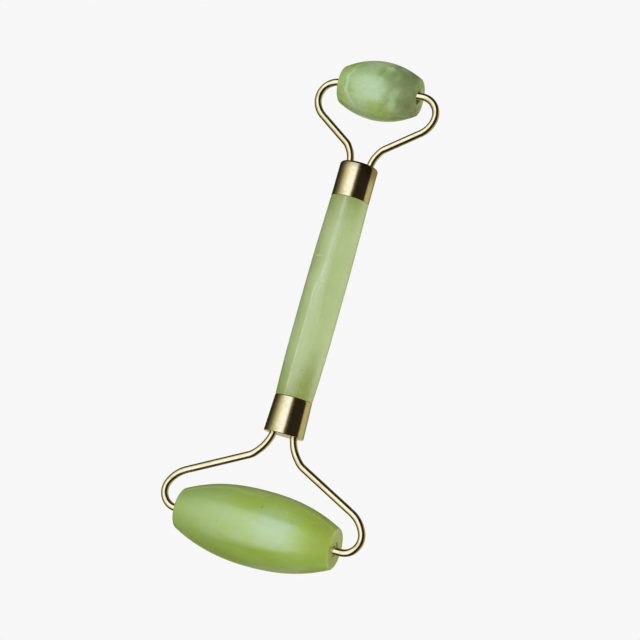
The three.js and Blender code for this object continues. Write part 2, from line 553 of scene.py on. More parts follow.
    def spot(self, vector: Socket, patch: Patch, drift: Socket | None = None) -> Socket:
        """How strongly a patch shows at a point.

        Args:
            vector: the point.
            patch: the patch.
            drift: what is added to the distance, to make the edge ragged.

        Returns:
            The patch's strength inside it, fading to nothing outside.
        """
        away = self.away(vector, patch.centre, patch.reach)
        if drift is not None:
            away = self.math("ADD", away, drift)
        return self.span(away, 1.0 + patch.edge / 2, 1.0 - patch.edge, 0.0, patch.strength)

    def times(self, *factors: Socket) -> Socket:
        """Multiplies values together; returns the product."""
        product = factors[0]
        for factor in factors[1:]:
            product = self.math("MULTIPLY", product, factor)
        return product

    def finish(self, colour: Socket, rough: Socket) -> None:
        """Joins the colour and the roughness to the shader."""
        self.join(colour, self.shader.inputs["Base Color"])
        self.join(rough, self.shader.inputs["Roughness"])

    def bump(self, *layers: tuple[Socket, float]) -> None:
        """Stacks bump layers on the shader.

        Args:
            layers: each a height output and its depth in millimetres.
        """
        normal = None
        for height, depth in layers:
            inputs = {"Height": height, "Strength": 1.0, "Distance": depth * MM}
            if normal is not None:
                inputs["Normal"] = normal
            normal = self.node("ShaderNodeBump", inputs).outputs[0]
        self.join(normal, self.shader.inputs["Normal"])


@dataclass(frozen=True)
class Sheet:
    """A thin pale sheet through the stone: a healed crack, or a painted highlight line where it
    stands for the edge of a reflection.
    """

    normal: Point
    offset: float
    width: float
    wander: float
    strength: float
    halo: float = 0.0
    keep: Point = (0.0, 0.0, 0.0)
    keep_reach: Point = (1000.0, 1000.0, 1000.0)


@dataclass(frozen=True)
class JadeFinish:
    """Polished jade: clouds of colour, healed cracks, flecks, and a soft glow; some patches, bands
    and sheets are painted highlights.
    """

    name: str
    slot: str
    deep: Colour
    body: Colour
    pale: Colour
    milk: Colour
    cloud_size: float
    cloud_stretch: Point
    turn: Point
    gloss: float
    shine: float
    patches: tuple[Patch, ...] = ()
    sheets: tuple[Sheet, ...] = ()
    bands: tuple[Patch, ...] = ()
    band_keep: tuple[Point, Point] = ((0.0, 0.0, 0.0), (100.0, 100.0, 100.0))
    dull: tuple[Patch, ...] = ()
    fleck: float = 0.25
    glow: float = 0.35

    def make(self, centre: Vector) -> bpy.types.Material:
        """Builds the stone's material.

        Args:
            centre: the stone's middle, in metres.

        Returns:
            The material.
        """
        bench = NodeBench(self.name)
        plain = bench.place(centre)
        stretched = bench.place(centre, self.cloud_stretch, self.turn)
        cloud = bench.noise(stretched, self.cloud_size, 6.0, 0.5, 0.35)
        wisp = bench.noise(stretched, self.cloud_size * 0.28, 7.0, 0.62, 0.8)
        blend = bench.math(
            "ADD", bench.math("MULTIPLY", cloud, 0.72), bench.math("MULTIPLY", wisp, 0.28)
        )
        colour = bench.ramp(
            blend,
            [(0.36, self.deep), (0.47, self.body), (0.55, self.pale), (0.68, self.milk)],
        )
        wobble = bench.noise(plain, 3.5, 3.0, 0.5, 0.2)
        for patch in self.patches:
            colour = self.lay_patch(bench, plain, wobble, colour, patch)
        for band in self.bands:
            colour = self.lay_band(bench, plain, wobble, colour, band)
        for sheet in self.sheets:
            colour = self.lay_sheet(bench, plain, colour, sheet)
        colour = self.lay_flecks(bench, plain, colour)
        smear = bench.noise(plain, 2.2, 5.0, 0.6)
        rough = bench.span(smear, 0.3, 0.72, self.gloss * 0.82, self.gloss * 1.25)
        for patch in self.dull:
            rough = bench.math("ADD", rough, bench.spot(plain, patch))
        bench.finish(colour, rough)
        shader = bench.shader
        shader.inputs["IOR"].default_value = JADE_IOR
        shader.inputs["Specular IOR Level"].default_value = self.shine
        shader.inputs["Subsurface Weight"].default_value = self.glow
        shader.inputs["Subsurface Radius"].default_value = JADE_SCATTER
        shader.inputs["Subsurface Scale"].default_value = JADE_SCATTER_DEPTH * MM
        self.wear(bench, plain, stretched)
        return bench.material

    def lay_patch(
        self, bench: NodeBench, plain: Socket, wobble: Socket, colour: Socket, patch: Patch
    ) -> Socket:
        """Mixes one patch over the colour and returns the new colour."""
        drift = bench.span(wobble, 0.25, 0.75, -patch.ragged, patch.ragged)
        return bench.mix(bench.spot(plain, patch, drift), colour, patch.colour)

    def lay_band(
        self, bench: NodeBench, plain: Socket, wobble: Socket, colour: Socket, band: Patch
    ) -> Socket:
        """Mixes a curved band, the rim of a patch, over the colour and returns it: a painted
        highlight crescent.
        """
        ragged = bench.math(
            "ADD",
            bench.away(plain, band.centre, band.reach),
            bench.span(wobble, 0.25, 0.75, -0.06, 0.06),
        )
        off = bench.math("ABSOLUTE", bench.math("SUBTRACT", ragged, 1.0))
        line = bench.span(off, band.edge, band.edge * 0.2, 0.0, band.strength)
        within = bench.span(bench.away(plain, *self.band_keep), 1.2, 0.7)
        band_breakup = bench.span(bench.noise(plain, 1.4, 5.0, 0.65), 0.3, 0.55, 0.55, 1.0)
        return bench.mix(bench.times(line, within, band_breakup), colour, band.colour)

    def lay_sheet(
        self, bench: NodeBench, plain: Socket, colour: Socket, sheet: Sheet
    ) -> Socket:
        """Mixes one pale sheet, a healed crack or a painted highlight line, over the colour and
        returns the new colour.
        """
        normal = tuple(Vector(sheet.normal).normalized())
        side = bench.vectors("DOT_PRODUCT", plain, normal).outputs[1]
        wander = sheet.wander * MM
        drift = bench.span(bench.noise(plain, 9.0, 3.0, 0.5), 0.2, 0.8, -wander, wander, False)
        gap = bench.math("ADD", bench.math("SUBTRACT", side, sheet.offset * MM), drift)
        away = bench.math("ABSOLUTE", gap)
        within = bench.span(bench.away(plain, sheet.keep, sheet.keep_reach), 1.15, 0.75)
        patchy = bench.span(bench.noise(plain, 2.6, 4.0, 0.65), 0.3, 0.6, 0.35, 1.0)
        line = bench.span(away, sheet.width * MM, sheet.width * 0.25 * MM, 0.0, sheet.strength)
        share = bench.times(line, patchy, within)
        # A halo is a painted soft glow on one side of a highlight line.
        if sheet.halo > 0.0:
            soft = bench.span(gap, sheet.halo * MM, 0.0, 0.0, sheet.strength * 0.3)
            above = bench.span(gap, -0.05 * MM, 0.08 * MM)
            share = bench.math("MAXIMUM", share, bench.times(soft, above, within))
        return bench.mix(share, colour, self.milk)

    def lay_flecks(self, bench: NodeBench, plain: Socket, colour: Socket) -> Socket:
        """Adds fine mottle, pale fibres and a few dark inclusions, and returns the colour."""
        mottle = bench.ramp(
            bench.noise(plain, 0.55, 5.0, 0.7),
            [(0.34, (0.86, 0.88, 0.84)), (0.5, (1.0, 1.0, 1.0)), (0.68, (1.08, 1.07, 1.1))],
        )
        colour = bench.mix(self.fleck * 2.0, colour, mottle, "MULTIPLY")
        grain = bench.mapped(plain, (0.35, 1.6, 1.0), (0.3, 0.2, 0.5))
        fibre = bench.noise(grain, 1.3, 6.0, 0.75, 1.4)
        colour = bench.mix(
            bench.span(fibre, 0.62, 0.76, 0.0, self.fleck * 1.4), colour, self.milk
        )
        rare = bench.span(bench.noise(plain, 7.0, 1.0), 0.52, 0.6)
        dot = bench.times(bench.span(bench.cells(plain, 4.2), 0.075, 0.035, 0.0, 0.6), rare)
        return bench.mix(dot, colour, tuple(c * 0.35 for c in self.deep))

    def wear(self, bench: NodeBench, plain: Socket, stretched: Socket) -> None:
        """Adds lapping waves, fine polishing scratches and pits as bump."""
        waves = bench.noise(stretched, 5.0, 2.0, 0.5)
        grain = bench.mapped(plain, (0.25, 4.0, 1.0), (0.2, 0.9, 0.35))
        scratch = bench.noise(grain, 0.5, 3.0, 0.6)
        pits = bench.span(bench.cells(plain, 1.7), 0.02, 0.09)
        bench.bump((waves, 0.035), (scratch, 0.0035), (pits, 0.012))


@dataclass(frozen=True)
class BrassFinish:
    """Polished brass with fine tool lines, handling marks and a little tarnish."""

    name: str
    slot: str
    metal: Colour
    tarnish: Colour
    tarnish_share: float
    gloss: float
    line_stretch: Point
    line_depth: float
    wave_depth: float = 0.02
    speckle: float = 0.25

    def make(self, centre: Vector, dark_at: Sequence[Patch] = ()) -> bpy.types.Material:
        """Builds the metal's material.

        Args:
            centre: the piece's middle, in metres.
            dark_at: places where the metal is darker: tarnish, and painted shade round the wire
                holes and at the small cap's outer end.

        Returns:
            The material.
        """
        bench = NodeBench(self.name)
        plain = bench.place(centre)
        lines = bench.place(centre, self.line_stretch)
        stain = bench.noise(plain, 2.4, 7.0, 0.68, 0.5)
        colour = bench.ramp(
            stain,
            [
                (0.30, tuple(0.6 * a + 0.4 * b for a, b in zip(self.metal, self.tarnish))),
                (0.46, tuple(c * 0.96 for c in self.metal)),
                (0.60, self.metal),
            ],
        )
        spots = bench.span(
            bench.noise(plain, 0.42, 4.0, 0.7), 0.6, 0.74, 0.0, self.speckle
        )
        colour = bench.mix(spots, colour, self.tarnish)
        bloom = bench.span(
            bench.noise(plain, 4.5, 5.0, 0.6, 0.8), 0.55, 0.75, 0.0, self.tarnish_share
        )
        colour = bench.mix(bloom, colour, self.tarnish)
        for patch in dark_at:
            colour = bench.mix(bench.spot(plain, patch), colour, patch.colour)
        bench.shader.inputs["Metallic"].default_value = 1.0
        smear = bench.noise(plain, 1.2, 5.0, 0.65)
        rubbed = bench.span(smear, 0.3, 0.7, self.gloss * 0.8, self.gloss * 1.35)
        bench.finish(colour, bench.math("ADD", rubbed, bench.math("MULTIPLY", spots, 0.35)))
        bench.bump(
            (bench.noise(plain, 2.8, 2.0), self.wave_depth),
            (bench.noise(lines, 0.35, 4.0, 0.6), self.line_depth),
            (bench.noise(plain, 0.18, 3.0, 0.7), self.line_depth * 0.35),
        )
        return bench.material


@dataclass(frozen=True)
class PolymerFinish:
    """A cast or moulded polymer: cloudy, faintly marked, half glossy."""

    name: str
    slot: str
    colour: Colour
    shade: Colour
    gloss: float
    glow: float

    def make(self, centre: Vector) -> bpy.types.Material:
        """Builds the material.

        Args:
            centre: the piece's middle, in metres.

        Returns:
            The material.
        """
        bench = NodeBench(self.name)
        plain = bench.place(centre)
        cloud = bench.noise(plain, 0.9, 5.0, 0.6, 0.4)
        colour = bench.ramp(cloud, [(0.35, self.shade), (0.55, self.colour)])
        smear = bench.noise(plain, 0.3, 3.0)
        rough = bench.span(smear, 0.3, 0.7, self.gloss * 0.8, self.gloss * 1.3)
        bench.finish(colour, rough)
        bench.shader.inputs["Subsurface Weight"].default_value = self.glow
        bench.shader.inputs["Subsurface Scale"].default_value = 0.4 * MM
        bench.bump((bench.noise(plain, 0.25, 4.0, 0.6), 0.006))
        return bench.material


# ---------------------------------------------------------------- sub-assemblies


def dress(piece: Piece, material: bpy.types.Material) -> None:
    """Gives a piece its one material.

    Args:
        piece: the piece.
        material: its finish.
    """
    piece.data.materials.clear()
    piece.data.materials.append(material)


def middle_of(node: str) -> Vector:
    """The middle of a CAD node's box, in metres."""
    low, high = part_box(node)
    return (low + high) / 2


@dataclass
class StoneHandle:
    """The round stone bar between the caps, with a spigot at each end."""

    finish: JadeFinish
    radius: float = 5.68
    large_cap: float = 10.3
    small_cap: float = 10.8
    half: float = HANDLE_HALF
    gap: float = 0.04
    spigot_radius: float = 4.35
    spigot_end: float = 7.25
    large_shoulder: float = 5.2
    small_shoulder: float = 5.35
    large_power: float = 3.1
    small_power: float = 2.1
    shoulder_round: float = 0.16
    spigot_round: float = 0.3
    lapping: float = 0.06
    grain: float = 16.0
    belts: int = 48
    sides: int = 128

    def shape(self, at: float) -> float:
        """The stone's radius at a distance along the tool from the handle's middle."""
        cap, end, power = self.small_cap, self.small_shoulder, self.small_power
        if at < 0:
            cap, end, power = self.large_cap, self.large_shoulder, self.large_power
        share = abs(at) / (self.half - cap)
        return self.radius - (self.radius - end) * min(share, 1.0) ** power

    def build(self) -> Piece:
        """Turns the bar, steps its spigots and dresses it.

        Returns:
            The handle.
        """
        centre = middle_of("handle_stone")
        low = -self.half + self.large_cap + self.gap
        high = self.half - self.small_cap - self.gap
        bar_middle = centre + Vector((0, (low + high) / 2 * MM, 0))
        length = high - low
        piece = blank("jade_handle", Axis.Y, bar_middle, self.radius, length, self.sides)
        lathe = Lathe(piece, Axis.Y, bar_middle, length)
        offset = (low + high) / 2
        with edit_mode(piece):
            lathe.profile(self.radius, lambda at: self.shape(at + offset), self.belts)
            for side, shoulder, cap in (
                (-1, self.large_shoulder, self.large_cap),
                (1, self.small_shoulder, self.small_cap),
            ):
                reach = cap + self.gap - self.spigot_end
                lathe.step(side, shoulder - self.spigot_radius, reach)
                lathe.bevel_ring(side * length / 2, shoulder, self.shoulder_round, 3)
                tip = side * (length / 2 + reach)
                lathe.bevel_ring(tip, self.spigot_radius, self.spigot_round, 3)
        hand_cut(piece, self.grain, self.lapping, 1.0)
        finish_mesh(piece)
        dress(piece, self.finish.make(centre))
        piece.visible_glossy = False
        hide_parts("handle_stone")
        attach(piece, "handle")
        return piece


@dataclass
class EndCap:
    """A turned brass cap: a cup over the stone's spigot, with two holes for the wire."""

    end: End
    finish: BrassFinish
    length: float
    end_radius: float
    mouth_radius: float
    edge: float
    edge_steps: int
    bore: float = 4.6
    wall: float = 1.2
    wire_spacing: float = WIRE_SPACING
    splay: float = 11.3
    drill_depth: float = 6.0
    drill_sides: int = 48
    # Patches of painted shade on the cap.
    outer_end_shade: tuple[Patch, ...] = ()
    hole: float = 1.06
    belts: int = 12
    sides: int = 128

    def build(self) -> Piece:
        """Turns the cup, drills it and dresses it.

        Returns:
            The cap.
        """
        node = f"{self.end.word}_end_cap"
        centre = middle_of(node)
        side = self.end.value
        largest = max(self.end_radius, self.mouth_radius)
        name = f"{self.end.word}_brass_cap"
        piece = blank(name, Axis.Y, centre, largest, self.length, self.sides)
        lathe = Lathe(piece, Axis.Y, centre, self.length)
        with edit_mode(piece):
            lathe.profile(largest, self.shape, self.belts)
            lathe.step(-side, self.mouth_radius - self.bore, self.wall - self.length)
            lathe.bevel_ring(side * self.length / 2, self.end_radius, self.edge, self.edge_steps)
            lathe.bevel_ring(-side * self.length / 2, self.mouth_radius, 0.14, 3)
            lathe.bevel_ring(-side * self.length / 2, self.bore, 0.1, 2)
        self.drill(piece, centre)
        finish_mesh(piece, 30.0)
        face, dark = side * self.length / 2, self.finish.tarnish
        # Tarnish on the end face, and painted shade: dark rings round the two wire holes.
        tarnish_and_hole_shade = (Patch((0, face, 0), (4.6, 0.9, 4.6), dark, 0.35, 0.6),) + tuple(
            Patch((x, face, 0), (1.9, 0.8, 1.9), dark, 0.8, 0.7)
            for x in (self.wire_spacing, -self.wire_spacing)
        )
        dress(piece, self.finish.make(centre, tarnish_and_hole_shade + self.outer_end_shade))
        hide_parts(node)
        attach(piece, "handle")
        return piece

    def shape(self, at: float) -> float:
        """The cap's radius at a distance from its middle: a straight taper."""
        share = 0.5 + at * self.end.value / self.length
        return self.mouth_radius + (self.end_radius - self.mouth_radius) * share

    def drill(self, piece: Piece, centre: Vector) -> None:
        """Drills the two splayed wire holes through the end wall.

        Args:
            piece: the cap.
            centre: its middle, in metres.
        """
        side = self.end.value
        opening = middle_of("handle_stone").y + side * HANDLE_HALF * MM
        for hand in ENDS:
            deselect_all()
            bpy.ops.mesh.primitive_cylinder_add(
                vertices=self.drill_sides,
                radius=self.hole * MM,
                depth=self.drill_depth * MM,
                location=(centre.x + hand * self.wire_spacing * MM, opening, centre.z),
                rotation=(-math.pi / 2, 0, -hand * side * math.radians(self.splay)),
            )
            drill = bpy.context.object
            apply_modifier(piece, "BOOLEAN", operation="DIFFERENCE", object=drill, solver="EXACT")
            bpy.data.objects.remove(drill)


@dataclass
class WireYoke:
    """One length of sprung brass wire: a hairpin in the cap, two arms and two axle pins."""

    end: End
    finish: BrassFinish
    splay: float
    neck_radius: float
    neck: float
    shoulder_radius: float
    arm: float
    elbow_radius: float
    elbow: float
    hook_radius: float
    axle_depth: float
    bridge_depth: float
    roller_length: float
    half_spacing: float = WIRE_SPACING
    wire: float = 1.0
    pin_reach: float = 6.0
    sides: int = 28
    jaw: float = 0.45
    tip_round: float = 0.35
    at: Vector = field(default_factory=Vector)
    heading: float = 90.0
    opening: float = 0.0
    level: float = 0.0

    def build(self) -> Piece:
        """Bends the right half from the bridge to the pin, mirrors it and dresses it.

        Returns:
            The yoke.
        """
        name = self.end.word
        self.opening = middle_of("handle_stone").y + self.end.value * HANDLE_HALF * MM
        self.level = middle_of(f"{name}_yoke_wire").z
        splay = math.radians(self.splay)
        bridge = self.half_spacing * math.cos(splay) - self.bridge_depth * math.sin(splay)
        self.at, self.heading = Vector((0.0, -self.bridge_depth - bridge)), 90.0
        deselect_all()
        bpy.ops.mesh.primitive_circle_add(
            vertices=self.sides,
            radius=self.wire * MM,
            location=self.world(self.at),
            rotation=(0, math.pi / 2, 0),
        )
        piece = bpy.context.object
        piece.name = piece.data.name = f"{name}_wire_yoke"
        bpy.ops.object.transform_apply(location=True, rotation=True, scale=True)
        with edit_mode(piece):
            bpy.ops.mesh.select_all(action="SELECT")
            self.bend(self.splay, bridge, 14)
            self.straight(-self.at.y / math.cos(splay))
            self.bend(self.neck, self.neck_radius, 12)
            self.dent(0.955)
            self.bend(self.arm, self.shoulder_radius, 8)
            self.straight(self.arm_length(), pieces=6)
            self.dent(0.93)
            self.bend(self.elbow, self.elbow_radius, 10)
            self.bend(-90.0, self.hook_radius, 26)
            self.straight(self.at.x - (self.roller_length / 2 - self.pin_reach), pieces=3)
            bpy.ops.mesh.edge_face_add()
            bpy.ops.mesh.bevel(offset=self.tip_round * MM, segments=4, affect="EDGES")
        apply_modifier(
            piece,
            "MIRROR",
            use_axis=(True, False, False),
            use_mirror_merge=True,
            merge_threshold=1e-6,
        )
        finish_mesh(piece, 50.0)
        dress(piece, self.finish.make(middle_of(f"{name}_yoke_wire")))
        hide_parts(f"{name}_yoke_wire")
        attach(piece, "handle")
        return piece

    def arm_length(self) -> float:
        """The arm's straight run, which brings the axle to its depth."""
        arm, elbow = math.radians(self.arm), math.radians(self.elbow)
        drop = self.elbow_radius * (math.sin(arm) - math.sin(elbow))
        drop += self.hook_radius * (math.sin(elbow) + 1)
        return (self.axle_depth - self.at.y - drop) / math.cos(arm)

    def world(self, spot: Vector) -> Point:
        """A point of the yoke's plane, in metres in the row frame.

        Args:
            spot: millimetres sideways and outwards from where the yoke starts to open.

        Returns:
            The point.
        """
        return (spot.x * MM, self.opening + self.end.value * spot.y * MM, self.level)

    def direction(self) -> Vector:
        """The way the wire runs now, in the row frame."""
        turn = math.radians(self.heading)
        return Vector((math.sin(turn), self.end.value * math.cos(turn), 0.0))

    def straight(self, length: float, pieces: int = 1) -> None:
        """Draws the wire's open end straight on.

        Args:
            length: how far, in millimetres.
            pieces: the number of steps it is drawn in.
        """
        turn = math.radians(self.heading)
        for _ in range(pieces):
            move = tuple(self.direction() * length / pieces * MM)
            bpy.ops.mesh.extrude_region_move(TRANSFORM_OT_translate={"value": move})
        self.at = self.at + Vector((math.sin(turn), math.cos(turn))) * length

    def bend(self, heading: float, radius: float, steps: int) -> None:
        """Spins the wire's open end round to a new heading.

        Args:
            heading: the new heading in degrees, from outwards towards +X.
            radius: the bend's radius in millimetres.
            steps: the number of steps in it.
        """
        turn = math.radians(heading - self.heading)
        way = 1.0 if turn > 0 else -1.0
        now = math.radians(self.heading)
        pivot = self.at + Vector((math.cos(now), -math.sin(now))) * way * radius
        bpy.ops.mesh.spin(
            steps=steps,
            angle=abs(turn),
            center=self.world(pivot),
            axis=(0.0, 0.0, way * self.end.value),
        )
        after = math.radians(heading)
        self.at = pivot - Vector((math.cos(after), -math.sin(after))) * way * radius
        self.heading = heading

    def dent(self, squeeze: float) -> None:
        """Leaves the shallow mark of the bending jaws just before a bend.

        Args:
            squeeze: how much of the wire's thickness is left at the mark.
        """
        self.straight(self.jaw)
        middle = self.world(self.at)
        across = self.direction()
        sideways = (abs(across.y), abs(across.x))
        value = tuple(1.0 - (1.0 - squeeze) * s for s in sideways)
        bpy.ops.transform.resize(value=(*value, 1.0), center_override=middle)
        self.straight(self.jaw)
        bpy.ops.transform.resize(
            value=(1 / value[0], 1 / value[1], 1.0), center_override=self.world(self.at)
        )


@dataclass
class BarrelRoller:
    """A barrel-shaped stone with a bore, on its own body."""

    end: End
    finish: JadeFinish
    length: float
    middle_radius: float
    end_radius: float
    power: float
    belts: int
    bore: float = 1.75
    rim: float = 0.5
    bore_round: float = 0.3
    lapping: float = 0.12
    grain: float = 15.0
    sides: int = 144

    def shape(self, at: float) -> float:
        """The barrel's radius at a distance from its middle."""
        share = min(abs(2 * at / self.length), 1.0)
        return self.middle_radius - (self.middle_radius - self.end_radius) * share**self.power

    def build(self) -> Piece:
        """Turns, bores, rounds and dresses the barrel.

        Returns:
            The roller.
        """
        node = f"{self.end.word}_roller"
        centre = middle_of(node)
        name = f"{self.end.word}_jade_roller"
        piece = blank(name, Axis.X, centre, self.middle_radius, self.length, self.sides)
        lathe = Lathe(piece, Axis.X, centre, self.length)
        with edit_mode(piece):
            lathe.profile(self.middle_radius, self.shape, self.belts)
            lathe.bore_through(self.end_radius, self.bore)
            for side in ENDS:
                lathe.bevel_ring(side * self.length / 2, self.end_radius, self.rim, 5)
                lathe.bevel_ring(side * self.length / 2, self.bore, self.bore_round, 3)
        hand_cut(piece, self.grain, self.lapping, 2.0)
        finish_mesh(piece, 35.0)
        dress(piece, self.finish.make(centre))
        piece.visible_glossy = False
        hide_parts(node)
        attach(piece, node)
        return piece


@dataclass
class Sleeves:
    """Four nylon bearing sleeves, one modelled and three copied, pressed into the bores."""

    finish: PolymerFinish
    outer: float = 1.65
    bore: float = 1.08
    length: float = 4.0
    sides: int = 48

    def build(self) -> list[Piece]:
        """Models one sleeve and copies it to each place.

        Returns:
            The four sleeves.
        """
        places = [(end, hand) for end in End for hand in ("left", "right")]
        centres = [middle_of(f"{end.word}_roller_sleeve_{hand}") for end, hand in places]
        made = [self.model(centres[0])]
        for centre in centres[1:]:
            piece = made[0].copy()
            piece.data = made[0].data.copy()
            bpy.context.scene.collection.objects.link(piece)
            piece.data.transform(Matrix.Translation(centre - centres[0]))
            made.append(piece)
        for piece, centre, (end, hand) in zip(made, centres, places):
            piece.name = piece.data.name = f"{end.word}_nylon_sleeve_{hand}"
            dress(piece, self.finish.make(centre))
            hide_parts(f"{end.word}_roller_sleeve_{hand}")
            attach(piece, f"{end.word}_roller")
        return made

    def model(self, centre: Vector) -> Piece:
        """Turns and bores one sleeve.

        Args:
            centre: its middle, in metres.

        Returns:
            The sleeve.
        """
        piece = blank("nylon_sleeve", Axis.X, centre, self.outer, self.length, self.sides)
        lathe = Lathe(piece, Axis.X, centre, self.length)
        with edit_mode(piece):
            lathe.bore_through(self.outer, self.bore)
            for side in ENDS:
                lathe.bevel_ring(side * self.length / 2, self.outer, 0.12, 2)
                lathe.bevel_ring(side * self.length / 2, self.bore, 0.1, 2)
        finish_mesh(piece, 35.0)
        return piece


@dataclass
class ResinFill:
    """The cast resin that holds stone and wire in each cap; the CAD solids are kept."""

    finish: PolymerFinish

    def dress(self) -> None:
        """Gives both resin plugs their finish."""
        for end in End:
            node = f"{end.word}_cap_resin"
            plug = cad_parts[node]
            material = self.finish.make(middle_of(node))
            plug.data.materials.clear()
            plug.data.materials.append(material)


# ---------------------------------------------------------------- studio


@dataclass
class Studio:
    """Pale floor, a large soft box above and to the left, dim surroundings, and camera."""

    place: Point = (179.923, -75.994, 488.287)
    right: Point = (0.9147984, 0.26921658, -0.30110848)
    up: Point = (-0.20672079, 0.95251023, 0.22358619)
    back: Point = (0.34700202, -0.14229091, 0.9270075)
    lens: float = 105.833
    floor_white: float = 0.931
    far_side: float = 112.0

    def build(self) -> None:
        """Makes the floor, the surroundings, the fill lights and the camera."""
        self.make_camera()
        self.make_floor()
        self.make_surroundings()
        self.make_fill("fill_above", (180.0, -60.0, 900.0), 700.0, 3.7)
        self.make_fill("fill_left", (-700.0, 100.0, 500.0), 700.0, 3.2)
        self.make_fill("fill_right", (700.0, 0.0, 300.0), 700.0, 5.4)

    def make_camera(self) -> None:
        """Places the camera square to the view it was chosen for."""
        data = bpy.data.cameras.new("camera")
        data.lens = self.lens
        data.sensor_width = 36.0
        data.clip_start, data.clip_end = 0.01, 20.0
        camera = bpy.data.objects.new("camera", data)
        bpy.context.scene.collection.objects.link(camera)
        turn = Matrix((self.right, self.up, self.back)).transposed()
        camera.matrix_world = Matrix.Translation(Vector(self.place) * MM) @ turn.to_4x4()
        bpy.context.scene.camera = camera

    def make_floor(self) -> None:
        """Lays the floor: pale, even, and unseen in the metal's reflections."""
        deselect_all()
        bpy.ops.mesh.primitive_plane_add(size=8.0, location=(0, 0, 0))
        floor = bpy.context.object
        floor.name = "studio_floor"
        material = bpy.data.materials.new("pale_floor")
        material.use_nodes = True
        nodes, links = material.node_tree.nodes, material.node_tree.links
        nodes.clear()
        glow = nodes.new("ShaderNodeEmission")
        glow.inputs[0].default_value = (1.0, 1.0, 1.0, 1.0)
        glow.inputs[1].default_value = self.floor_white
        output = nodes.new("ShaderNodeOutputMaterial")
        links.new(glow.outputs[0], output.inputs[0])
        floor.data.materials.append(material)
        floor.visible_glossy = False

    def make_surroundings(self) -> None:
        """Shades the world by direction round the handle's axis.

        A wide soft box stands above and to the left and fades away to its left; the room
        is dark to the upper right and dim below.
        """
        world = bpy.data.worlds.new("studio")
        world.use_nodes = True
        bpy.context.scene.world = world
        bench = NodeBench.__new__(NodeBench)
        bench.tree = world.node_tree
        bench.tree.nodes.clear()
        x, y, z = bench.axes(bench.node("ShaderNodeTexCoord").outputs["Generated"])
        around = bench.math("DEGREES", bench.math("ARCTAN2", z, x))
        rise = bench.math("DEGREES", bench.math("ARCSINE", y))
        place = bench.span(around, -180.0, 180.0, 0.0, 1.0, False)
        room = bench.ramp(
            place,
            [
                (0.0, (0.10, 0.09, 0.07)),
                (0.025, (0.04, 0.035, 0.02)),
                (0.14, (0.02, 0.018, 0.012)),
                (0.18, (0.62, 0.56, 0.36)),
                (0.24, (0.46, 0.42, 0.26)),
                (0.30, (0.36, 0.33, 0.18)),
                (0.34, (0.54, 0.51, 0.33)),
                (0.436, (0.52, 0.50, 0.34)),
                (0.462, (0.03, 0.024, 0.018)),
                (0.66, (0.022, 0.018, 0.015)),
                (0.675, (0.08, 0.06, 0.035)),
                (0.700, (0.20, 0.155, 0.085)),
                (0.75, (0.10, 0.10, 0.08)),
                (0.96, (0.13, 0.12, 0.09)),
            ],
        )
        box = bench.ramp(
            place,
            [
                (0.697, (0.0, 0.0, 0.0)),
                (0.722, (0.90, 0.96, 1.30)),
                (0.748, (1.15, 1.24, 1.80)),
                (0.825, (1.03, 1.08, 1.32)),
                (0.858, (0.76, 0.78, 0.78)),
                (0.897, (0.47, 0.46, 0.40)),
                (0.936, (0.19, 0.18, 0.14)),
                (0.972, (0.0, 0.0, 0.0)),
            ],
        )
        steep = bench.span(bench.math("ABSOLUTE", rise), 28.0, 52.0, 1.0, 0.18)
        room = bench.mix(1.0, room, self.grey(bench, steep), "MULTIPLY")
        facing_away = bench.math("ABSOLUTE", bench.math("ADD", around, self.far_side))
        beneath = bench.span(facing_away, 40.0, 20.0)
        over = bench.span(rise, -3.0, 9.0, 0.0, 0.85)
        under = bench.span(rise, -15.0, -27.0, 0.0, 0.85)
        hidden = bench.times(beneath, bench.math("MAXIMUM", over, under))
        room = bench.mix(hidden, room, (0.1, 0.08, 0.036))
        share = bench.times(bench.span(rise, -60.0, -46.0), bench.span(rise, 44.0, 33.0))
        light = bench.mix(share, (0.0, 0.0, 0.0), box)
        shade = bench.mix(1.0, room, light, "ADD")
        ray = bench.node("ShaderNodeLightPath").outputs["Is Camera Ray"]
        seen = bench.mix(ray, shade, (self.floor_white,) * 3)
        back = bench.node("ShaderNodeBackground", {"Color": seen})
        output = bench.node("ShaderNodeOutputWorld")
        bench.join(back.outputs[0], output.inputs[0])

    def grey(self, bench: NodeBench, value: Socket) -> Socket:
        """A number as a grey colour."""
        return bench.node("ShaderNodeCombineColor", {0: value, 1: value, 2: value}).outputs[0]

    def make_fill(self, name: str, place: Point, size: float, power: float) -> None:
        """Adds a broad fill light that lights the stone but leaves no reflection.

        Args:
            name: the light's name.
            place: where it is, in millimetres.
            size: its side in millimetres.
            power: its power in watts.
        """
        data = bpy.data.lights.new(name, "AREA")
        data.size = size * MM
        data.energy = power
        light = bpy.data.objects.new(name, data)
        bpy.context.scene.collection.objects.link(light)
        light.location = Vector(place) * MM
        aim = middle_of("handle_stone") - light.location
        light.rotation_euler = aim.to_track_quat("-Z", "Y").to_euler()
        light.visible_glossy = False


# ---------------------------------------------------------------- finishes in use

